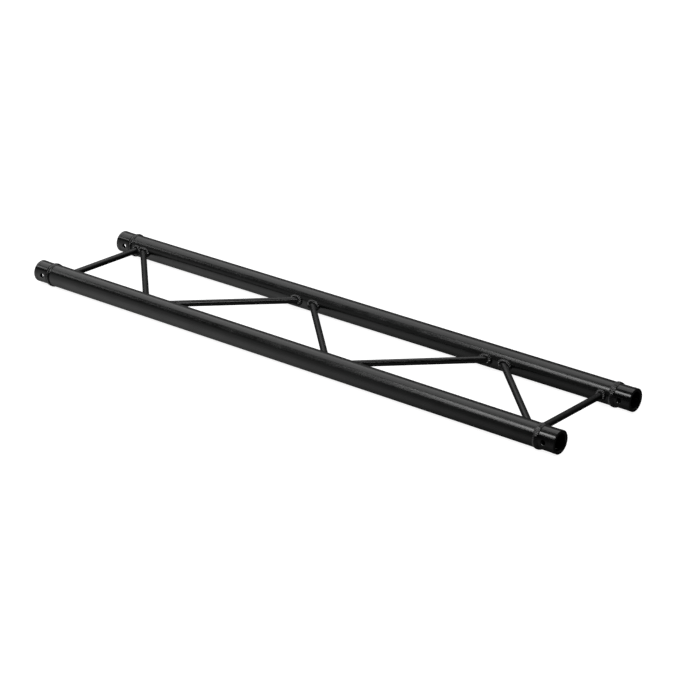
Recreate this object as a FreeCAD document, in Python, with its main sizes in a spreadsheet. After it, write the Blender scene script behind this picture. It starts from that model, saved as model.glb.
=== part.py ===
import FreeCAD, Part
import os
import Sketcher
from FreeCAD import Vector

# Two-chord (ladder) lighting truss section, 1000 mm long and 220 mm wide over
# the chord tubes, welded from 35 mm aluminium tube.
#
# Frame: origin at the middle of the section, midway between the two chord
# axes.  +X runs along the chords, +Y from the front chord to the rear chord,
# +Z is square to the plane of the ladder.  Everything is in millimetres.

doc = FreeCAD.newDocument("ladder_truss")

# ---------------------------------------------------------------------------
# Driving dimensions
# ---------------------------------------------------------------------------
DIMS = [
    ("half_len", 500.0, "half the overall length, mouth face to mouth face"),
    ("chord_gap", 185.0, "distance between the two chord axes"),
    ("tube_r", 17.5, "chord tube outer radius"),
    ("tube_ri", 15.5, "chord tube inner radius"),
    ("tube_half", 468.5, "half the length of a chord tube"),
    ("prep", 1.0, "weld preparation chamfer on tube end and socket shoulder"),
    ("shoulder", 29.5, "mouth face to socket shoulder"),
    ("sock_len", 56.5, "whole length of a coupler socket"),
    ("sock_r", 17.0, "socket body outer radius"),
    ("collar_r", 17.25, "socket mouth collar outer radius"),
    ("collar_len", 6.4, "length of the mouth collar"),
    ("collar_step", 0.25, "run-out of the step behind the collar"),
    ("spigot_r", 15.45, "part of the socket that slides into the tube"),
    ("spigot_lead", 1.0, "lead chamfer of the spigot"),
    ("mouth_r", 12.25, "tapered bore radius at the mouth face"),
    ("deep_r", 10.75, "tapered bore radius at the inner end"),
    ("lip", 0.8, "inner chamfer of the mouth"),
    ("rim", 0.4, "outer chamfer of the mouth"),
    ("pin_set", 17.5, "mouth face to the axis of the locking-pin hole"),
    ("pin_r", 3.6, "locking-pin hole radius"),
    ("pin_sink", 0.7, "countersink of the pin hole"),
    ("ring_in", 465.0, "inner toe of the socket weld, from the middle"),
    ("ring_out", 474.0, "outer toe of the socket weld, from the middle"),
    ("ring_crown", 7.3, "crown radius of the socket weld"),
    ("brace_r", 5.0, "brace outer radius"),
    ("brace_ri", 3.5, "brace inner radius"),
    ("leg", 2.4, "leg of a brace weld, outwards from the brace"),
    ("rise", 2.4, "height of a brace weld over the crest of the chord"),
    ("bulge", 2.2, "rounding of a brace weld's outer edge"),
    ("spread", 2.1, "half the straight side of a leaning brace's weld"),
    ("post", 34.0, "length of brace that a weld is fitted to"),
    ("near_half", 50.0, "half the length of chord that a brace weld is fitted to"),
    ("meet", 446.65, "face where the welds of neighbouring feet run together"),
    ("x_end", 453.0, "square end brace, from the middle"),
    ("x_outer", 456.0, "outer foot of the first and last diagonals"),
    ("x_near", 268.0, "inner foot of the first and last diagonals"),
    ("x_far", 271.5, "outer foot of the second and fourth diagonals"),
    ("x_in", 91.0, "inner foot of the second and fourth diagonals"),
    ("x_mid", 94.0, "feet of the middle diagonal"),
]
P = {name: value for name, value, note in DIMS}

sheet = doc.addObject("Spreadsheet::Sheet", "params")
sheet.Label = "params"
for row, (name, value, note) in enumerate(DIMS, start=1):
    sheet.set("A%d" % row, name)
    sheet.set("B%d" % row, "%.6g" % value)
    sheet.setAlias("B%d" % row, name)
    sheet.set("C%d" % row, note)
doc.recompute()


# ---------------------------------------------------------------------------
# Helpers
# ---------------------------------------------------------------------------
def bind(obj, prop, expression):
    """Drives a property from the sheet; names of cells are written bare."""
    out, word = [], ""
    for ch in expression + " ":
        if ch.isalnum() or ch == "_":
            word += ch
            continue
        out.append("params." + word if word in P else word)
        out.append(ch)
        word = ""
    obj.setExpression(prop, "".join(out).strip())


def new_body(label):
    body = doc.addObject("PartDesign::Body", label)
    body.Label = label
    return body


def new_sketch(body, name, role):
    sk = body.newObject("Sketcher::SketchObject", name)
    plane = [f for f in body.Origin.OriginFeatures if f.Role == role][0]
    sk.AttachmentSupport = [(plane, "")]
    sk.MapMode = "FlatFace"
    return sk


def pin_point(sk, geo, pos, at, tag):
    """Fixes one end of a line at ((x, expression), (y, expression))."""
    (x, ex), (y, ey) = at
    for axis, kind, value, expr in (("x", "DistanceX", x, ex), ("y", "DistanceY", y, ey)):
        if abs(value) < 1e-9:
            # On an axis of the sketch: a point-on-object constraint, as a
            # signed distance of zero is refused.
            sk.addConstraint(
                Sketcher.Constraint("PointOnObject", geo, pos, -2 if axis == "x" else -1)
            )
            continue
        i = sk.addConstraint(Sketcher.Constraint(kind, -1, 1, geo, pos, value))
        sk.renameConstraint(i, "%s_%s" % (tag, axis))
        bind(sk, "Constraints.%s_%s" % (tag, axis), expr)


def outline(sk, points, tag, arc=None):
    """Closed outline through points.  arc = (index, crown point, radius cell)
    makes the side that starts at that index an arc."""
    n = len(points)
    xy = [Vector(p[0][0], p[1][0], 0) for p in points]
    geos = []
    for i in range(n):
        a, b = xy[i], xy[(i + 1) % n]
        if arc and arc[0] == i:
            g = sk.addGeometry(Part.Arc(a, arc[1], b))
            curve = sk.Geometry[g]
            start = 1 if (curve.StartPoint - a).Length < 1e-6 else 2
            geos.append((g, start, 3 - start))
            i_r = sk.addConstraint(Sketcher.Constraint("Radius", g, curve.Radius))
            sk.renameConstraint(i_r, tag + "_r")
            bind(sk, "Constraints.%s_r" % tag, arc[2])
        else:
            geos.append((sk.addGeometry(Part.LineSegment(a, b)), 1, 2))
    for i in range(n):
        g0, s0, e0 = geos[i]
        g1, s1, e1 = geos[(i + 1) % n]
        sk.addConstraint(Sketcher.Constraint("Coincident", g0, e0, g1, s1))
    for i in range(n):
        g, s, e = geos[i]
        pin_point(sk, g, s, points[i], "%s%d" % (tag, i))


def circle(sk, cells, centre=None, tag="c"):
    """Concentric circles whose radii are cells."""
    cx = centre[0] if centre else 0.0
    for k, cell in enumerate(cells):
        g = sk.addGeometry(Part.Circle(Vector(cx, 0, 0), Vector(0, 0, 1), P[cell]))
        i = sk.addConstraint(Sketcher.Constraint("Radius", g, P[cell]))
        sk.renameConstraint(i, "%s_r%d" % (tag, k))
        bind(sk, "Constraints.%s_r%d" % (tag, k), cell)
        if centre:
            j = sk.addConstraint(Sketcher.Constraint("DistanceX", -1, 1, g, 3, cx))
            sk.renameConstraint(j, "%s_x%d" % (tag, k))
            bind(sk, "Constraints.%s_x%d" % (tag, k), centre[1])
            sk.addConstraint(Sketcher.Constraint("PointOnObject", g, 3, -1))
        else:
            sk.addConstraint(Sketcher.Constraint("Coincident", g, 3, -1, 1))


FRONT, REAR = "-chord_gap / 2", "chord_gap / 2"
SIDES = (("front", FRONT, -1), ("rear", REAR, 1))
kept = []


# ---------------------------------------------------------------------------
# Chord tubes: drawn tube, both ends chamfered for the socket weld
# ---------------------------------------------------------------------------
for side, y_cell, sign in SIDES:
    body = new_body("chord_tube_" + side)
    sk = new_sketch(body, "section_" + side, "YZ_Plane")
    circle(sk, ["tube_r", "tube_ri"])
    pad = body.newObject("PartDesign::Pad", "tube_" + side)
    pad.Profile = sk
    pad.SideType = "Symmetric"
    bind(pad, "Length", "2 * tube_half")
    doc.recompute()
    names = []
    for i, e in enumerate(pad.Shape.Edges, start=1):
        if hasattr(e.Curve, "Radius") and abs(e.Curve.Radius - P["tube_r"]) < 1e-6:
            names.append("Edge%d" % i)
    prep = body.newObject("PartDesign::Chamfer", "weld_prep_" + side)
    prep.Base = (pad, names)
    bind(prep, "Size", "prep")
    body.Tip = prep
    bind(body, "Placement.Base.y", y_cell)
    kept.append(body)


# ---------------------------------------------------------------------------
# Coupler sockets: turned from bar, spigot inside the tube, tapered bore for
# the conical coupler, cross hole for its locking pin
# ---------------------------------------------------------------------------
def cell(value, expression):
    return (value, expression)


deep_x = P["half_len"] - P["sock_len"]
sh_x = P["half_len"] - P["shoulder"]
slope = (P["mouth_r"] - P["deep_r"]) / P["sock_len"]
SOCKET = [
    (cell(deep_x, "half_len - sock_len"), cell(P["deep_r"], "deep_r")),
    (
        cell(P["half_len"] - P["lip"], "half_len - lip"),
        cell(
            P["mouth_r"] - slope * P["lip"],
            "mouth_r - (mouth_r - deep_r) / sock_len * lip",
        ),
    ),
    (
        cell(P["half_len"], "half_len"),
        cell(P["mouth_r"] + P["lip"], "mouth_r + lip"),
    ),
    (cell(P["half_len"], "half_len"), cell(P["collar_r"] - P["rim"], "collar_r - rim")),
    (
        cell(P["half_len"] - P["rim"], "half_len - rim"),
        cell(P["collar_r"], "collar_r"),
    ),
    (
        cell(P["half_len"] - P["collar_len"], "half_len - collar_len"),
        cell(P["collar_r"], "collar_r"),
    ),
    (
        cell(
            P["half_len"] - P["collar_len"] - P["collar_step"],
            "half_len - collar_len - collar_step",
        ),
        cell(P["sock_r"], "sock_r"),
    ),
    (
        cell(sh_x + P["prep"], "half_len - shoulder + prep"),
        cell(P["sock_r"], "sock_r"),
    ),
    (cell(sh_x, "half_len - shoulder"), cell(P["sock_r"] - P["prep"], "sock_r - prep")),
    (cell(sh_x, "half_len - shoulder"), cell(P["spigot_r"], "spigot_r")),
    (
        cell(deep_x + P["spigot_lead"], "half_len - sock_len + spigot_lead"),
        cell(P["spigot_r"], "spigot_r"),
    ),
    (
        cell(deep_x, "half_len - sock_len"),
        cell(P["spigot_r"] - P["spigot_lead"], "spigot_r - spigot_lead"),
    ),
]

pin_x = P["half_len"] - P["pin_set"]
pin_e = "half_len - pin_set"

for side, y_cell, sign in SIDES:
    for end, turn in (("left", 180.0), ("right", 0.0)):
        tag = side + "_" + end
        body = new_body("coupler_socket_" + tag)
        sk = new_sketch(body, "profile_" + tag, "XY_Plane")
        outline(sk, SOCKET, "p")
        rev = body.newObject("PartDesign::Revolution", "turned_" + tag)
        rev.Profile = sk
        rev.ReferenceAxis = (sk, ["H_Axis"])
        rev.Angle = 360.0
        doc.recompute()
        v0 = rev.Shape.Volume

        hole = new_sketch(body, "pin_centre_" + tag, "XZ_Plane")
        circle(hole, ["pin_r"], centre=(pin_x, pin_e))
        cut = body.newObject("PartDesign::Pocket", "pin_hole_" + tag)
        cut.Profile = hole
        cut.Type = "ThroughAll"
        cut.SideType = "Symmetric"
        doc.recompute()
        v1 = cut.Shape.Volume

        # Countersink at both mouths of the cross hole.
        sink = new_sketch(body, "sink_profile_" + tag, "XY_Plane")
        axis = sink.addGeometry(
            Part.LineSegment(Vector(pin_x, -20, 0), Vector(pin_x, 20, 0)), True
        )
        sink.addConstraint(Sketcher.Constraint("Vertical", axis))
        i = sink.addConstraint(Sketcher.Constraint("DistanceX", -1, 1, axis, 1, pin_x))
        sink.renameConstraint(i, "axis_x")
        bind(sink, "Constraints.axis_x", pin_e)
        i = sink.addConstraint(Sketcher.Constraint("DistanceY", -1, 1, axis, 1, -20.0))
        i = sink.addConstraint(Sketcher.Constraint("DistanceY", -1, 1, axis, 2, 20.0))
        top = P["sock_r"] + 0.6
        low = P["sock_r"] - P["pin_sink"]
        for name, s in (("u", 1), ("d", -1)):
            pre = "" if s > 0 else "-"
            outline(
                sink,
                [
                    (cell(pin_x, pin_e), cell(s * low, pre + "(sock_r - pin_sink)")),
                    (
                        cell(pin_x + P["pin_r"], pin_e + " + pin_r"),
                        cell(s * low, pre + "(sock_r - pin_sink)"),
                    ),
                    (
                        cell(
                            pin_x + P["pin_r"] + P["pin_sink"] + 0.6,
                            pin_e + " + pin_r + pin_sink + 0.6",
                        ),
                        cell(s * top, pre + "(sock_r + 0.6)"),
                    ),
                    (cell(pin_x, pin_e), cell(s * top, pre + "(sock_r + 0.6)")),
                ],
                name,
            )
        groove = body.newObject("PartDesign::Groove", "pin_sink_" + tag)
        groove.Profile = sink
        groove.ReferenceAxis = (sink, ["Axis0"])
        groove.Angle = 360.0
        doc.recompute()
        v2 = groove.Shape.Volume
        if not (v0 - v1 > 250.0 and 5.0 < v1 - v2 < 60.0):
            raise RuntimeError("pin hole of %s cut %.1f and %.1f mm3" % (tag, v0 - v1, v1 - v2))
        body.Tip = groove
        body.Placement = FreeCAD.Placement(
            Vector(0, 0, 0), FreeCAD.Rotation(Vector(0, 0, 1), turn)
        )
        bind(body, "Placement.Base.y", y_cell)
        kept.append(body)


# ---------------------------------------------------------------------------
# Socket welds: one ring of filler in the groove between tube and socket
# ---------------------------------------------------------------------------
tube_end, tube_end_e = P["tube_half"], "tube_half"
RING = [
    (cell(P["ring_in"], "ring_in"), cell(P["tube_r"], "tube_r")),
    (cell(tube_end - P["prep"], "tube_half - prep"), cell(P["tube_r"], "tube_r")),
    (cell(tube_end, tube_end_e), cell(P["tube_r"] - P["prep"], "tube_r - prep")),
    (cell(tube_end, tube_end_e), cell(P["spigot_r"], "spigot_r")),
    (cell(sh_x, "half_len - shoulder"), cell(P["spigot_r"], "spigot_r")),
    (cell(sh_x, "half_len - shoulder"), cell(P["sock_r"] - P["prep"], "sock_r - prep")),
    (cell(sh_x + P["prep"], "half_len - shoulder + prep"), cell(P["sock_r"], "sock_r")),
    (cell(P["ring_out"], "ring_out"), cell(P["sock_r"], "sock_r")),
]
mid = Vector(
    (P["ring_in"] + P["ring_out"]) / 2, (P["tube_r"] + P["sock_r"]) / 2, 0
)
half_chord = (
    Vector(P["ring_out"], P["sock_r"], 0) - Vector(P["ring_in"], P["tube_r"], 0)
).Length / 2
sagitta = P["ring_crown"] - (P["ring_crown"] ** 2 - half_chord**2) ** 0.5
along = (
    Vector(P["ring_out"], P["sock_r"], 0) - Vector(P["ring_in"], P["tube_r"], 0)
).normalize()
crown = mid + Vector(-along.y, along.x, 0) * sagitta

for side, y_cell, sign in SIDES:
    for end, turn in (("left", 180.0), ("right", 0.0)):
        tag = side + "_" + end
        body = new_body("weld_ring_" + tag)
        sk = new_sketch(body, "ring_profile_" + tag, "XY_Plane")
        outline(sk, RING, "w", arc=(len(RING) - 1, crown, "ring_crown"))
        rev = body.newObject("PartDesign::Revolution", "ring_" + tag)
        rev.Profile = sk
        rev.ReferenceAxis = (sk, ["H_Axis"])
        rev.Angle = 360.0
        body.Tip = rev
        body.Placement = FreeCAD.Placement(
            Vector(0, 0, 0), FreeCAD.Rotation(Vector(0, 0, 1), turn)
        )
        bind(body, "Placement.Base.y", y_cell)
        kept.append(body)
doc.recompute()


# ---------------------------------------------------------------------------
# Braces: tube, both ends coped to the chord tubes
# ---------------------------------------------------------------------------
def along_chord(label, radius_cell, y_cell, half):
    """Solid cylinder along a chord axis, from -half to +half."""
    c = doc.addObject("Part::Cylinder", label)
    c.Label = label
    bind(c, "Radius", radius_cell)
    bind(c, "Height", "2 * %s" % half)
    c.Placement = FreeCAD.Placement(
        Vector(0, 0, 0), FreeCAD.Rotation(Vector(0, 1, 0), 90)
    )
    bind(c, "Placement.Base.x", "-%s" % half)
    bind(c, "Placement.Base.y", y_cell)
    return c


cope = {s: along_chord("cope_" + s, "tube_r", y, "half_len") for s, y, g in SIDES}
copes = doc.addObject("Part::MultiFuse", "cope_both")
copes.Label = "cope_both"
copes.Shapes = [cope["front"], cope["rear"]]


def rod(label, cells, x_expr, y_expr, run_expr, length_expr):
    """Round bar, centred on its point, whose axis lies in the plane of the
    ladder, turned from +Y by the brace's lean."""
    body = new_body(label)
    sk = new_sketch(body, label + "_section", "XZ_Plane")
    circle(sk, cells)
    pad = body.newObject("PartDesign::Pad", label + "_bar")
    pad.Profile = sk
    bind(pad, "Length", length_expr)
    pad.SideType = "Symmetric"
    body.Tip = pad
    body.Placement = FreeCAD.Placement(
        Vector(0, 0, 0), FreeCAD.Rotation(Vector(0, 0, 1), 10)
    )
    bind(body, "Placement.Base.x", x_expr)
    bind(body, "Placement.Base.y", y_expr)
    bind(body, "Placement.Rotation.Angle", "-atan((%s) / chord_gap)" % run_expr)
    return body


# name: foot on the front chord axis, foot on the rear chord axis
BRACES = [
    ("end_brace_left", "-x_end", "-x_end"),
    ("diagonal_brace_1", "-x_near", "-x_outer"),
    ("diagonal_brace_2", "-x_far", "-x_in"),
    ("diagonal_brace_3", "x_mid", "-x_mid"),
    ("diagonal_brace_4", "x_in", "x_far"),
    ("diagonal_brace_5", "x_outer", "x_near"),
    ("end_brace_right", "x_end", "x_end"),
]


def value_of(foot):
    return -P[foot[1:]] if foot.startswith("-") else P[foot]


core = {}
feet = {}
for name, xf, xr in BRACES:
    run = "(%s) - (%s)" % (xr, xf)
    length = "sqrt((%s)^2 + chord_gap^2)" % run
    centre = "((%s) + (%s)) / 2" % (xf, xr)
    feet[name] = (xf, xr, run)
    core[name] = rod(name + "_core", ["brace_r"], centre, "0", run, length)
    bore = rod(name + "_bore", ["brace_ri"], centre, "0", run, length)
    tools = doc.addObject("Part::MultiFuse", name + "_tools")
    tools.Label = name + "_tools"
    tools.Shapes = [cope["front"], cope["rear"], bore]
    brace = doc.addObject("Part::Cut", name)
    brace.Label = name
    brace.Base = core[name]
    brace.Tool = tools
    kept.append(brace)
doc.recompute()


# ---------------------------------------------------------------------------
# Brace welds: a rounded collar of filler at each foot, oval where the brace
# leans.  Each is made once per lean of brace, with the brace's foot at the
# origin, the chord along X and the brace leaning towards -X, and then set at
# its own foot.
# ---------------------------------------------------------------------------
def cut(label, base, tool):
    made = doc.addObject("Part::Cut", label)
    made.Label = label
    made.Base = base
    made.Tool = tool
    return made


def leaning(label, radius_cell, run):
    """Cylinder from the origin along +Y, leaning as a brace does."""
    c = doc.addObject("Part::Cylinder", label)
    c.Label = label
    bind(c, "Radius", radius_cell)
    bind(c, "Height", "post")
    c.Placement = FreeCAD.Placement(Vector(0, 0, 0), FreeCAD.Rotation(0, 0, -90))
    bind(c, "Placement.Rotation.Yaw", "-atan((%s) / chord_gap)" % run)
    return c


def block(label, x_from, y_cell):
    """Square block across one chord, from x_from towards +X."""
    box = doc.addObject("Part::Box", label)
    box.Label = label
    for prop in ("Length", "Width", "Height"):
        bind(box, prop, "near_half")
    bind(box, "Placement.Base.x", x_from)
    bind(box, "Placement.Base.y", "%s - near_half / 2" % y_cell)
    bind(box, "Placement.Base.z", "-near_half / 2")
    return box


def oval(sk, centre_x, centre_e):
    """Oval about (centre_x, 0): half circles joined by straight sides."""
    r, half = P["brace_r"] + P["leg"], P["spread"]
    out = Vector(0, 0, 1)
    quarter = 1.5707963267948966
    right = sk.addGeometry(
        Part.ArcOfCircle(
            Part.Circle(Vector(centre_x + half, 0, 0), out, r), -quarter, quarter
        )
    )
    left = sk.addGeometry(
        Part.ArcOfCircle(
            Part.Circle(Vector(centre_x - half, 0, 0), out, r), quarter, 3 * quarter
        )
    )
    top = sk.addGeometry(
        Part.LineSegment(Vector(centre_x + half, r, 0), Vector(centre_x - half, r, 0))
    )
    low = sk.addGeometry(
        Part.LineSegment(
            Vector(centre_x - half, -r, 0), Vector(centre_x + half, -r, 0)
        )
    )
    add = sk.addConstraint
    add(Sketcher.Constraint("Tangent", right, 2, top, 1))
    add(Sketcher.Constraint("Tangent", top, 2, left, 1))
    add(Sketcher.Constraint("Tangent", left, 2, low, 1))
    add(Sketcher.Constraint("Tangent", low, 2, right, 1))
    add(Sketcher.Constraint("PointOnObject", right, 3, -1))
    i = add(Sketcher.Constraint("Radius", right, r))
    sk.renameConstraint(i, "oval_r")
    bind(sk, "Constraints.oval_r", "brace_r + leg")
    for geo, sign, name in ((right, "+", "right_x"), (left, "-", "left_x")):
        x = centre_x + half if sign == "+" else centre_x - half
        i = add(Sketcher.Constraint("DistanceX", -1, 1, geo, 3, x))
        sk.renameConstraint(i, name)
        bind(sk, "Constraints." + name, "%s %s spread" % (centre_e, sign))


face = along_chord("weld_face", "tube_r", "0", "near_half")


def bead_pattern(label, lean, lean_mm):
    """lean: how far the brace runs along the chord, as an expression."""
    run = "-(%s)" % lean
    body = new_body(label + "_collar")
    sk = new_sketch(body, label + "_outline", "XZ_Plane")
    if lean_mm:
        # Midway between the brace's place at the foot and at the weld's top.
        at = "-(%s) / chord_gap * (tube_r + rise / 2)" % lean
        at_mm = -lean_mm / P["chord_gap"] * (P["tube_r"] + P["rise"] / 2)
        oval(sk, at_mm, at)
    else:
        g = sk.addGeometry(
            Part.Circle(Vector(0, 0, 0), Vector(0, 0, 1), P["brace_r"] + P["leg"])
        )
        sk.addConstraint(Sketcher.Constraint("Coincident", g, 3, -1, 1))
        i = sk.addConstraint(Sketcher.Constraint("Radius", g, P["brace_r"] + P["leg"]))
        sk.renameConstraint(i, "collar_round")
        bind(sk, "Constraints.collar_round", "brace_r + leg")
    pad = body.newObject("PartDesign::Pad", label + "_pad")
    pad.Profile = sk
    bind(pad, "Length", "tube_r + rise")
    doc.recompute()
    if pad.Shape.BoundBox.YMax < 1.0:
        pad.Reversed = True
        doc.recompute()
    level = pad.Shape.BoundBox.YMax
    rim = [
        "Edge%d" % i
        for i, e in enumerate(pad.Shape.Edges, start=1)
        if e.BoundBox.YMin > level - 1e-4
    ]
    rounding = body.newObject("PartDesign::Fillet", label + "_rounding")
    rounding.Base = (pad, rim)
    bind(rounding, "Radius", "bulge")
    body.Tip = rounding
    post = leaning(label + "_post", "brace_r", run)
    return cut(label, cut(label + "_on_chord", body, face), post)


patterns = {
    "end_brace_left": bead_pattern("weld_pattern_square", "0", 0.0),
    "diagonal_brace_1": bead_pattern(
        "weld_pattern_outer", "x_outer - x_near", P["x_outer"] - P["x_near"]
    ),
    "diagonal_brace_2": bead_pattern(
        "weld_pattern_inner", "x_far - x_in", P["x_far"] - P["x_in"]
    ),
    "diagonal_brace_3": bead_pattern("weld_pattern_middle", "2 * x_mid", 2 * P["x_mid"]),
}
patterns["end_brace_right"] = patterns["end_brace_left"]
patterns["diagonal_brace_4"] = patterns["diagonal_brace_2"]
patterns["diagonal_brace_5"] = patterns["diagonal_brace_1"]
doc.recompute()


def bead(name, side, pattern, tool=None):
    """Sets a pattern at one foot of a brace; tool is cut away from it."""
    xf, xr, run = feet[name]
    label = "weld_" + name.replace("_brace", "") + "_" + side
    body = new_body(label + "_laid" if tool else label)
    body.BaseFeature = pattern
    leans_back = value_of(xr) <= value_of(xf)
    if side == "front":
        turn = (Vector(0, 0, 1), 0) if leans_back else (Vector(0, 1, 0), 180)
    else:
        turn = (Vector(0, 0, 1), 180) if leans_back else (Vector(1, 0, 0), 180)
    body.Placement = FreeCAD.Placement(Vector(0, 0, 0), FreeCAD.Rotation(*turn))
    bind(body, "Placement.Base.x", xf if side == "front" else xr)
    bind(body, "Placement.Base.y", FRONT if side == "front" else REAR)
    kept.append(cut(label, body, tool) if tool else body)


# Where two feet stand side by side their welds run together on a flat face.
shared = {
    ("end_brace_left", "rear"): block("meet_1", "-meet", REAR),
    ("diagonal_brace_1", "rear"): block("meet_2", "-meet - near_half", REAR),
    ("end_brace_right", "front"): block("meet_3", "meet - near_half", FRONT),
    ("diagonal_brace_5", "front"): block("meet_4", "meet", FRONT),
}
for name, xf, xr in BRACES:
    for side in ("front", "rear"):
        bead(name, side, patterns[name], shared.get((name, side)))
doc.recompute()


# ---------------------------------------------------------------------------
# Check and write
# ---------------------------------------------------------------------------
bad = [
    o.Label
    for o in doc.Objects
    if "Invalid" in o.State or "Error" in o.State
]
if bad:
    raise RuntimeError("failed objects: %s" % ", ".join(bad))

total = 0.0
for o in kept:
    s = o.Shape
    if s.isNull() or not s.isValid() or len(s.Solids) != 1:
        raise RuntimeError("%s is not one valid solid" % o.Label)
    total += s.Volume
    print("%-28s %10.1f mm3" % (o.Label, s.Volume))
print("parts %d, volume %.0f mm3, aluminium mass %.3f kg" % (len(kept), total, total * 2.70e-6))

os.makedirs("parts", exist_ok=True)
for o in kept:
    o.Shape.exportStep("parts/%s.step" % o.Label)
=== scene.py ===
import math

import bmesh
import bpy
from mathutils import Matrix, Vector, noise


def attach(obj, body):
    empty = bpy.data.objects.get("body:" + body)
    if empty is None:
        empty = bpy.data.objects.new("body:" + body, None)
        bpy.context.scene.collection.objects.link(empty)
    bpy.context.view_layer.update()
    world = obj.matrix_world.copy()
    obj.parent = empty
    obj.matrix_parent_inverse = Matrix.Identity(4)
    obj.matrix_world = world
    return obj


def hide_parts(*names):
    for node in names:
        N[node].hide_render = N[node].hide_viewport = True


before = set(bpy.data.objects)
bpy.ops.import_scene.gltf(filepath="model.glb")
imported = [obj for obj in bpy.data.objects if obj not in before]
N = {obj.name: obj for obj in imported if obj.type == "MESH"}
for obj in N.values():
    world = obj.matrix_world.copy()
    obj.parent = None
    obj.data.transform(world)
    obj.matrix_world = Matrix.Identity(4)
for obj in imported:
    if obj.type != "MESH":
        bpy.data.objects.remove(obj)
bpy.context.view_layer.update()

scene = bpy.context.scene

# ---------------------------------------------------------------------------
# Numbers shared with the solids, in metres
# ---------------------------------------------------------------------------
TUBE_R = 0.0175
BRACE_R = 0.005
GAP = 0.185
FRONT_Y, REAR_Y = -GAP / 2, GAP / 2
BRACES = {
    "end_left": (-0.453, -0.453),
    "diagonal_1": (-0.268, -0.456),
    "diagonal_2": (-0.2715, -0.091),
    "diagonal_3": (0.094, -0.094),
    "diagonal_4": (0.091, 0.2715),
    "diagonal_5": (0.456, 0.268),
    "end_right": (0.453, 0.453),
}


# ---------------------------------------------------------------------------
# Materials
# ---------------------------------------------------------------------------
class Tree:
    """Short hand for building a material's nodes."""

    def __init__(self, name):
        self.m = bpy.data.materials.new(name)
        self.m.use_nodes = True
        self.t = self.m.node_tree
        self.bsdf = self.t.nodes["Principled BSDF"]

    def add(self, kind, **props):
        n = self.t.nodes.new(kind)
        for k, v in props.items():
            setattr(n, k, v)
        return n

    def set(self, node, **values):
        for k, v in values.items():
            node.inputs[k.replace("_", " ")].default_value = v
        return node

    def link(self, a, b):
        self.t.links.new(a, b)

    def coords(self, scale=(1.0, 1.0, 1.0)):
        geo = self.add("ShaderNodeTexCoord")
        mp = self.add("ShaderNodeMapping")
        mp.inputs["Scale"].default_value = scale
        self.link(geo.outputs["Object"], mp.inputs["Vector"])
        return mp.outputs["Vector"]

    def noise(self, vec, scale, detail=3.0, rough=0.55):
        n = self.add("ShaderNodeTexNoise")
        n.inputs["Scale"].default_value = scale
        n.inputs["Detail"].default_value = detail
        n.inputs["Roughness"].default_value = rough
        self.link(vec, n.inputs["Vector"])
        return n.outputs["Fac"]

    def ramp(self, fac, stops):
        r = self.add("ShaderNodeValToRGB")
        el = r.color_ramp.elements
        while len(el) < len(stops):
            el.new(0.5)
        for e, (pos, col) in zip(el, stops):
            e.position = pos
            e.color = (*col, 1.0) if len(col) == 3 else col
        self.link(fac, r.inputs["Fac"])
        return r.outputs["Color"]

    def span(self, fac, lo, hi, to_lo, to_hi):
        n = self.add("ShaderNodeMapRange")
        for k, v in (
            ("From Min", lo),
            ("From Max", hi),
            ("To Min", to_lo),
            ("To Max", to_hi),
        ):
            n.inputs[k].default_value = v
        self.link(fac, n.inputs["Value"])
        return n.outputs["Result"]

    def math(self, op, a, b):
        n = self.add("ShaderNodeMath", operation=op)
        for i, x in enumerate((a, b)):
            if isinstance(x, (int, float)):
                n.inputs[i].default_value = x
            else:
                self.link(x, n.inputs[i])
        return n.outputs[0]

    def mix(self, fac, a, b):
        n = self.add("ShaderNodeMix", data_type="RGBA")
        self.link(fac, n.inputs["Factor"])
        for sock, x in ((n.inputs[6], a), (n.inputs[7], b)):
            if isinstance(x, tuple):
                sock.default_value = (*x, 1.0)
            else:
                self.link(x, sock)
        return n.outputs[2]

    def bump(self, height, distance, strength=1.0, after=None):
        n = self.add("ShaderNodeBump")
        n.inputs["Strength"].default_value = strength
        n.inputs["Distance"].default_value = distance
        self.link(height, n.inputs["Height"])
        if after is not None:
            self.link(after, n.inputs["Normal"])
        return n.outputs["Normal"]


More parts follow.
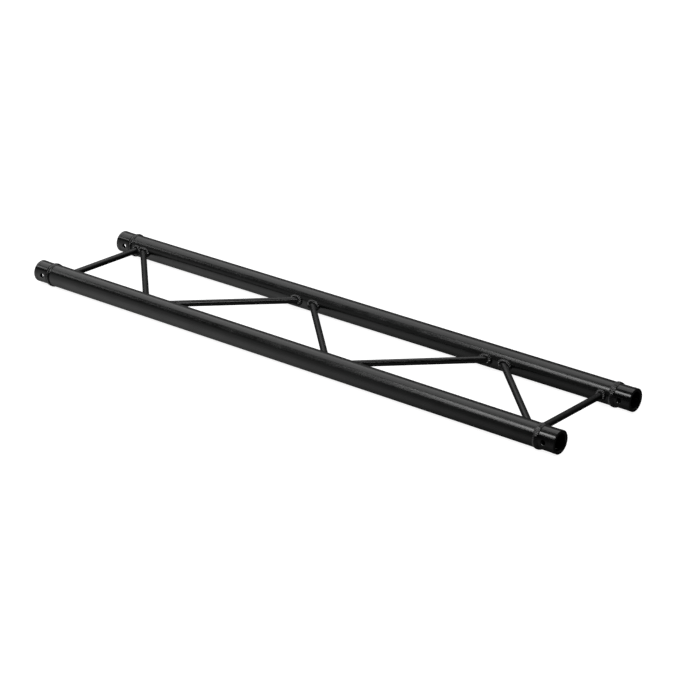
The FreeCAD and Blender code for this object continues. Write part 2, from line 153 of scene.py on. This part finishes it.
def coating(name, dark, light, rough, peel, drawn, wear, lathe=0.0, coat=0.0, spec=0.5):
    """Black coating over metal.  dark, light: the two tones it wanders between.
    rough: (low, high).  peel: depth of the orange peel.  drawn: depth of the
    lines along the tube.  wear: how far edges are rubbed.  lathe: depth of
    turning lines across the part."""
    t = Tree(name)
    vec = t.coords()
    long_vec = t.coords((0.06, 1.0, 1.0))
    broad = t.noise(vec, 9.0, 4.0)
    fine = t.noise(vec, 900.0, 2.0)
    speck = t.noise(vec, 2600.0, 1.0)
    lines = t.noise(long_vec, 520.0, 3.0)

    base = t.ramp(broad, [(0.3, dark), (0.72, light)])
    # Dust and rub: faint grey where the speckle is highest.
    dust = t.span(speck, 0.66, 0.78, 0.0, 0.14)
    base = t.mix(dust, base, tuple(min(1.0, c * 1.6 + 0.004) for c in light))

    # Rubbed edges, found from the shape's own pointiness by a bevel test.
    bevel = t.add("ShaderNodeBevel", samples=4)
    bevel.inputs["Radius"].default_value = 0.0009
    geo = t.add("ShaderNodeNewGeometry")
    dot = t.add("ShaderNodeVectorMath", operation="DOT_PRODUCT")
    t.link(bevel.outputs["Normal"], dot.inputs[0])
    t.link(geo.outputs["Normal"], dot.inputs[1])
    edge = t.span(dot.outputs["Value"], 0.995, 0.9, 0.0, wear)
    patch = t.span(t.noise(vec, 260.0, 3.0), 0.42, 0.62, 0.0, 1.0)
    edge = t.math("MULTIPLY", edge, patch)
    base = t.mix(edge, base, (0.11, 0.112, 0.112))
    t.link(base, t.bsdf.inputs["Base Color"])

    r = t.span(t.noise(vec, 34.0, 4.0), 0.3, 0.7, rough[0], rough[1])
    r = t.math("ADD", r, t.span(lines, 0.35, 0.65, -0.018, 0.018))
    r = t.math("ADD", r, t.span(t.noise(vec, 420.0, 3.0), 0.35, 0.65, -0.012, 0.012))
    t.link(r, t.bsdf.inputs["Roughness"])
    t.bsdf.inputs["Specular IOR Level"].default_value = spec
    t.bsdf.inputs["Coat Weight"].default_value = coat
    t.bsdf.inputs["Coat Roughness"].default_value = 0.08

    normal = t.bump(fine, peel)
    if drawn:
        normal = t.bump(lines, drawn, after=normal)
    if lathe:
        turn = t.add("ShaderNodeTexWave", wave_type="BANDS", bands_direction="X")
        turn.inputs["Scale"].default_value = 420.0
        turn.inputs["Distortion"].default_value = 0.4
        turn.inputs["Detail"].default_value = 1.0
        t.link(vec, turn.inputs["Vector"])
        normal = t.bump(turn.outputs["Fac"], lathe, after=normal)
    t.link(normal, t.bsdf.inputs["Normal"])
    return t.m


TUBE = coating(
    "tube_satin_black",
    (0.0012, 0.0014, 0.0013),
    (0.0028, 0.0033, 0.0030),
    (0.20, 0.27),
    0.000004,
    0.000004,
    0.15,
    spec=0.5,
)
BRACE = coating(
    "brace_satin_black",
    (0.0012, 0.0013, 0.0013),
    (0.0028, 0.0030, 0.0029),
    (0.20, 0.28),
    0.000010,
    0.0,
    0.15,
    spec=0.44,
)
SOCKET = coating(
    "socket_gloss_black",
    (0.0013, 0.0014, 0.0014),
    (0.0028, 0.0030, 0.0030),
    (0.13, 0.19),
    0.000006,
    0.0,
    0.08,
    lathe=0.0000010,
    coat=0.1,
    spec=0.4,
)
WELD = coating(
    "weld_black",
    (0.0016, 0.0017, 0.0017),
    (0.0044, 0.0047, 0.0046),
    (0.12, 0.24),
    0.000025,
    0.0,
    0.1,
    coat=0.2,
    spec=0.45,
)
RING = coating(
    "ring_weld_black",
    (0.0012, 0.0013, 0.0013),
    (0.0030, 0.0032, 0.0031),
    (0.15, 0.23),
    0.000012,
    0.0,
    0.05,
    coat=0.12,
    spec=0.4,
)


def dress(o, mat):
    o.data.materials.clear()
    o.data.materials.append(mat)


for name, o in N.items():
    if name.startswith("chord"):
        dress(o, TUBE)
    elif name.startswith("coupler"):
        dress(o, SOCKET)
    elif name.startswith("weld_ring"):
        dress(o, RING)
    elif name.startswith("weld"):
        dress(o, WELD)
    else:
        dress(o, BRACE)


# ---------------------------------------------------------------------------
# Welds
# ---------------------------------------------------------------------------
def mesh_object(name, verts, faces, mat):
    me = bpy.data.meshes.new(name)
    me.from_pydata(verts, [], faces)
    me.update()
    bm = bmesh.new()
    bm.from_mesh(me)
    bmesh.ops.recalc_face_normals(bm, faces=bm.faces)
    bm.to_mesh(me)
    bm.free()
    for p in me.polygons:
        p.use_smooth = True
    o = bpy.data.objects.new(name, me)
    scene.collection.objects.link(o)
    me.materials.append(mat)
    return o


def grid_faces(rows, cols):
    """Closed both ways."""
    return [
        (
            i * cols + j,
            i * cols + (j + 1) % cols,
            ((i + 1) % rows) * cols + (j + 1) % cols,
            ((i + 1) % rows) * cols + j,
        )
        for i in range(rows)
        for j in range(cols)
    ]


def wobble(p, scale, seed):
    return noise.noise(Vector((p[0] * scale + seed, p[1] * scale, p[2] * scale)))


def brace_bead(name, node, x_foot, y_foot, run, seed):
    """Rippled bead laid round the foot of a brace.  The line follows the brace
    where it meets the chord; ripples stand across it."""
    inward = 1.0 if y_foot < 0 else -1.0
    run = run * inward
    length = math.hypot(run, GAP)
    d = Vector((run / length, inward * GAP / length, 0.0))
    e1 = Vector((-d.y, d.x, 0.0))
    if e1.x < 0:
        e1 = -e1
    ez = Vector((0.0, 0.0, 1.0))
    foot = Vector((x_foot, y_foot, 0.0))
    lean = d.x * (1 if e1.x > 0 else -1)
    rows, cols = 180, 24
    seat = 0.0005
    pts = []
    for i in range(rows):
        a = 2 * math.pi * i / rows
        # Acute side of the foot: the bead stands a little off the brace.
        acute = max(0.0, math.cos(a) * lean)
        rr = BRACE_R + seat + 0.0035 * acute ** 2
        off = e1 * (rr * math.cos(a)) + ez * (rr * math.sin(a))
        # t so that the point lies on the chord's surface
        R = TUBE_R + seat
        need = math.sqrt(max(1e-12, R * R - off.z * off.z))
        t = (need - off.y * inward) / (d.y * inward)
        pts.append(foot + d * t + off)
    cum = [0.0]
    for i in range(rows):
        cum.append(cum[-1] + (pts[(i + 1) % rows] - pts[i]).length)
    pitch = cum[-1] / max(1, round(cum[-1] / 0.0021))
    verts = []
    for i in range(rows):
        p = pts[i]
        tan = (pts[(i + 1) % rows] - pts[i - 1]).normalized()
        rad = Vector((0.0, p.y - y_foot, p.z)).normalized()
        side = tan.cross(rad).normalized()
        up = side.cross(tan).normalized()
        s = cum[i]
        for j in range(cols):
            b = 2 * math.pi * j / cols
            # Ripples bow forward in the middle of the bead.
            bow = 0.0008 * math.sin(b)
            ph = ((s + bow) / pitch) % 1.0
            scallop = 1.0 - abs(2.0 * ph - 1.0) ** 1.7
            r = 0.0029 + 0.00078 * (scallop - 0.5)
            q = p + side * (math.cos(b) * r) + up * (math.sin(b) * r)
            r += 0.00042 * wobble(q, 240.0, seed) + 0.00030 * wobble(q, 620.0, seed + 9)
            verts.append(p + side * (math.cos(b) * r) + up * (math.sin(b) * r))
    o = mesh_object(name, verts, grid_faces(rows, cols), WELD)
    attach(o, "root")
    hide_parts(node)
    return o


seed = 3.0
for key, (xf, xr) in BRACES.items():
    for side, x, y in (("front", xf, FRONT_Y), ("rear", xr, REAR_Y)):
        node = "weld_%s_%s" % (key, side)
        brace_bead("bead_%s_%s" % (key, side), node, x, y, (xr - xf), seed)
        seed += 7.3


def ring_bead(name, node, sx, y_axis, seed):
    """Rippled weld round the joint of chord tube and socket."""
    prof = []  # (distance from the middle, radius)
    n = 22
    x0, x1 = 0.4648, 0.4742
    r0, r1 = 0.0175, 0.0170
    crown = 0.00165
    for k in range(n + 1):
        u = k / n
        x = x0 + (x1 - x0) * u
        prof.append((x, r0 + (r1 - r0) * u, crown * math.sin(math.pi * u) ** 0.55))
    rows = 360
    count = 46
    verts, faces = [], []
    for i in range(rows):
        a = 2 * math.pi * i / rows
        for x, r, h in prof:
            u = (x - x0) / (x1 - x0)
            bow = 0.33 * math.sin(math.pi * u)
            ph = (a / (2 * math.pi) * count + bow) % 1.0
            scallop = 1.0 - abs(2.0 * ph - 1.0) ** 1.8
            q = (x, math.cos(a) * r, math.sin(a) * r)
            hh = h * (0.80 + 0.22 * scallop) + (
                0.00016 * wobble(q, 170.0, seed) + 0.00008 * wobble(q, 560.0, seed + 5)
            ) * math.sin(math.pi * u)
            rr = r + hh - (0.00012 if u in (0.0, 1.0) else 0.0)
            xx = x + 0.00022 * wobble(q, 90.0, seed + 2) * (1 if 0 < u < 1 else 0)
            verts.append((sx * xx, y_axis + rr * math.cos(a), rr * math.sin(a)))
        for x, r in ((x1 - 0.0003, 0.0160), (x0 + 0.0003, 0.0160)):
            verts.append((sx * x, y_axis + r * math.cos(a), r * math.sin(a)))
    cols = len(prof) + 2
    o = mesh_object(name, verts, grid_faces(rows, cols), RING)
    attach(o, "root")
    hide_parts(node)
    return o


for side, y in (("front", FRONT_Y), ("rear", REAR_Y)):
    for end, sx in (("left", -1.0), ("right", 1.0)):
        ring_bead(
            "ring_bead_%s_%s" % (side, end),
            "weld_ring_%s_%s" % (side, end),
            sx,
            y,
            seed,
        )
        seed += 5.1


# ---------------------------------------------------------------------------
# Floor, light and camera
# ---------------------------------------------------------------------------
def plane(name, sx, sy, z):
    me = bpy.data.meshes.new(name)
    me.from_pydata(
        [(-sx, -sy, z), (sx, -sy, z), (sx, sy, z), (-sx, sy, z)], [], [(0, 1, 2, 3)]
    )
    o = bpy.data.objects.new(name, me)
    scene.collection.objects.link(o)
    return o


floor = plane("floor", 30.0, 30.0, -0.0189)
ft = Tree("floor_white")
ft.bsdf.inputs["Base Color"].default_value = (0.3, 0.3, 0.3, 1.0)
ft.bsdf.inputs["Roughness"].default_value = 0.9
ft.bsdf.inputs["Specular IOR Level"].default_value = 0.0
ft.bsdf.inputs["Emission Color"].default_value = (1.0, 1.0, 1.0, 1.0)
ft.bsdf.inputs["Emission Strength"].default_value = 0.92
dress(floor, ft.m)
floor.visible_diffuse = False
floor.visible_glossy = False
floor.visible_shadow = False


def area(name, low, high, radiance, down=True):
    """Level softbox from corner low to corner high, (x, y) each, at height z."""
    (x0, y0), (x1, y1), z = low, high[:2], high[2]
    data = bpy.data.lights.new(name, "AREA")
    data.shape = "RECTANGLE"
    data.size, data.size_y = x1 - x0, y1 - y0
    data.energy = radiance * math.pi * data.size * data.size_y
    o = bpy.data.objects.new(name, data)
    o.location = ((x0 + x1) / 2, (y0 + y1) / 2, z)
    scene.collection.objects.link(o)
    return o


# Two softboxes overhead, the left one reaching further forward, and brighter
# ones in front that draw the streak along the tubes near their right-hand ends.
# The corner one lights the sockets at the left-hand ends.
area("softbox_left", (-3.6, -0.45), (-0.60, 1.8, 1.8), 1.35)
area("softbox_right", (-0.60, 0.0), (1.6, 1.8, 1.8), 1.35)
area("softbox_front_left", (-0.80, -1.42), (-0.64, -0.62, 1.5), 8.0)
area("softbox_front_far", (-1.08, -1.95), (-0.87, -1.46, 1.5), 8.0)
area("softbox_front_right", (-0.64, -1.50), (1.3, -0.84, 1.5), 7.6)
area("softbox_corner", (-3.9, -1.40), (-2.37, -0.45, 1.8), 3.8)


def studio():
    """Dark room, paler low down and to one side."""
    w = bpy.data.worlds.new("studio")
    scene.world = w
    w.use_nodes = True
    nt = w.node_tree
    bg = nt.nodes["Background"]
    tc = nt.nodes.new("ShaderNodeTexCoord")
    sep = nt.nodes.new("ShaderNodeSeparateXYZ")
    nt.links.new(tc.outputs["Generated"], sep.inputs[0])

    def node(op, a, b=None):
        n = nt.nodes.new("ShaderNodeMath")
        n.operation = op
        for i, v in enumerate((a, b)):
            if v is None:
                continue
            if isinstance(v, (int, float)):
                n.inputs[i].default_value = v
            else:
                nt.links.new(v, n.inputs[i])
        return n.outputs[0]

    def ramp(fac, stops):
        r = nt.nodes.new("ShaderNodeValToRGB")
        el = r.color_ramp.elements
        while len(el) < len(stops):
            el.new(0.5)
        for e, (pos, v) in zip(el, stops):
            e.position = pos
            e.color = (v, v, v, 1.0)
        nt.links.new(fac, r.inputs["Fac"])
        return r.outputs["Color"]

    # Angle round the X axis from +Y towards +Z, as a share of a full turn.
    ang = node("ARCTAN2", sep.outputs["Z"], sep.outputs["Y"])
    turn = node("FRACT", node("ADD", node("DIVIDE", ang, 2 * math.pi), 1.0))
    d = lambda deg: deg / 360.0
    left = ramp(
        turn,
        [
            (0.0, 0.08),
            (d(20), 0.16),
            (d(42), 0.42),
            (d(60), 0.02),
            (d(132), 0.02),
            (d(146), 0.1),
            (d(160), 0.5),
            (d(180), 0.65),
            (d(205), 0.95),
            (d(235), 0.82),
            (d(262), 0.38),
            (d(290), 0.18),
            (d(340), 0.08),
        ],
    )
    right = ramp(
        turn,
        [
            (0.0, 0.04),
            (d(20), 0.1),
            (d(42), 0.22),
            (d(60), 0.01),
            (d(140), 0.0),
            (d(168), 0.0),
            (d(184), 0.05),
            (d(200), 0.18),
            (d(220), 0.2),
            (d(240), 0.12),
            (d(262), 0.06),
            (d(290), 0.03),
            (d(340), 0.03),
        ],
    )
    side = nt.nodes.new("ShaderNodeMapRange")
    side.interpolation_type = "SMOOTHSTEP"
    for k, v in (("From Min", -0.54), ("From Max", -0.62), ("To Min", 0.0), ("To Max", 1.0)):
        side.inputs[k].default_value = v
    nt.links.new(sep.outputs["X"], side.inputs["Value"])
    # The paler side ends again further round.
    far = nt.nodes.new("ShaderNodeMapRange")
    far.interpolation_type = "SMOOTHSTEP"
    for k, v in (("From Min", -0.76), ("From Max", -0.88), ("To Min", 1.0), ("To Max", 0.0)):
        far.inputs[k].default_value = v
    nt.links.new(sep.outputs["X"], far.inputs["Value"])
    mix = nt.nodes.new("ShaderNodeMix")
    mix.data_type = "RGBA"
    nt.links.new(
        node("MULTIPLY", side.outputs["Result"], far.outputs["Result"]),
        mix.inputs["Factor"],
    )
    nt.links.new(right, mix.inputs[6])
    nt.links.new(left, mix.inputs[7])
    nt.links.new(mix.outputs[2], bg.inputs["Color"])
    bg.inputs["Strength"].default_value = 1.0

    # Seen directly, above the floor's edge, the room is plain and pale.
    plain = nt.nodes.new("ShaderNodeBackground")
    plain.inputs["Color"].default_value = (0.97, 0.97, 0.97, 1.0)
    seen = nt.nodes.new("ShaderNodeLightPath")
    both = nt.nodes.new("ShaderNodeMixShader")
    nt.links.new(seen.outputs["Is Camera Ray"], both.inputs[0])
    nt.links.new(bg.outputs["Background"], both.inputs[1])
    nt.links.new(plain.outputs["Background"], both.inputs[2])
    nt.links.new(both.outputs["Shader"], nt.nodes["World Output"].inputs["Surface"])


studio()

scene.view_settings.view_transform = "Standard"
scene.view_settings.look = "None"

cam_data = bpy.data.cameras.new("camera")
cam = bpy.data.objects.new("camera", cam_data)
scene.collection.objects.link(cam)
scene.camera = cam
right = Vector((0.7733258595825184, 0.6338981724588088, 0.011841530912066467))
down = Vector((0.25061866254837206, -0.288480211002968, -0.9241046768857674))
ahead = Vector((-0.5823722185024147, 0.7176017522366188, -0.3819559193199004))
rot = Matrix((right, -down, -ahead)).transposed()
cam.matrix_world = Matrix.Translation((2.0003, -2.3905, 1.2580)) @ rot.to_4x4()
cam_data.sensor_width = 36.0
cam_data.lens = 115.53
cam_data.clip_start, cam_data.clip_end = 0.05, 60.0
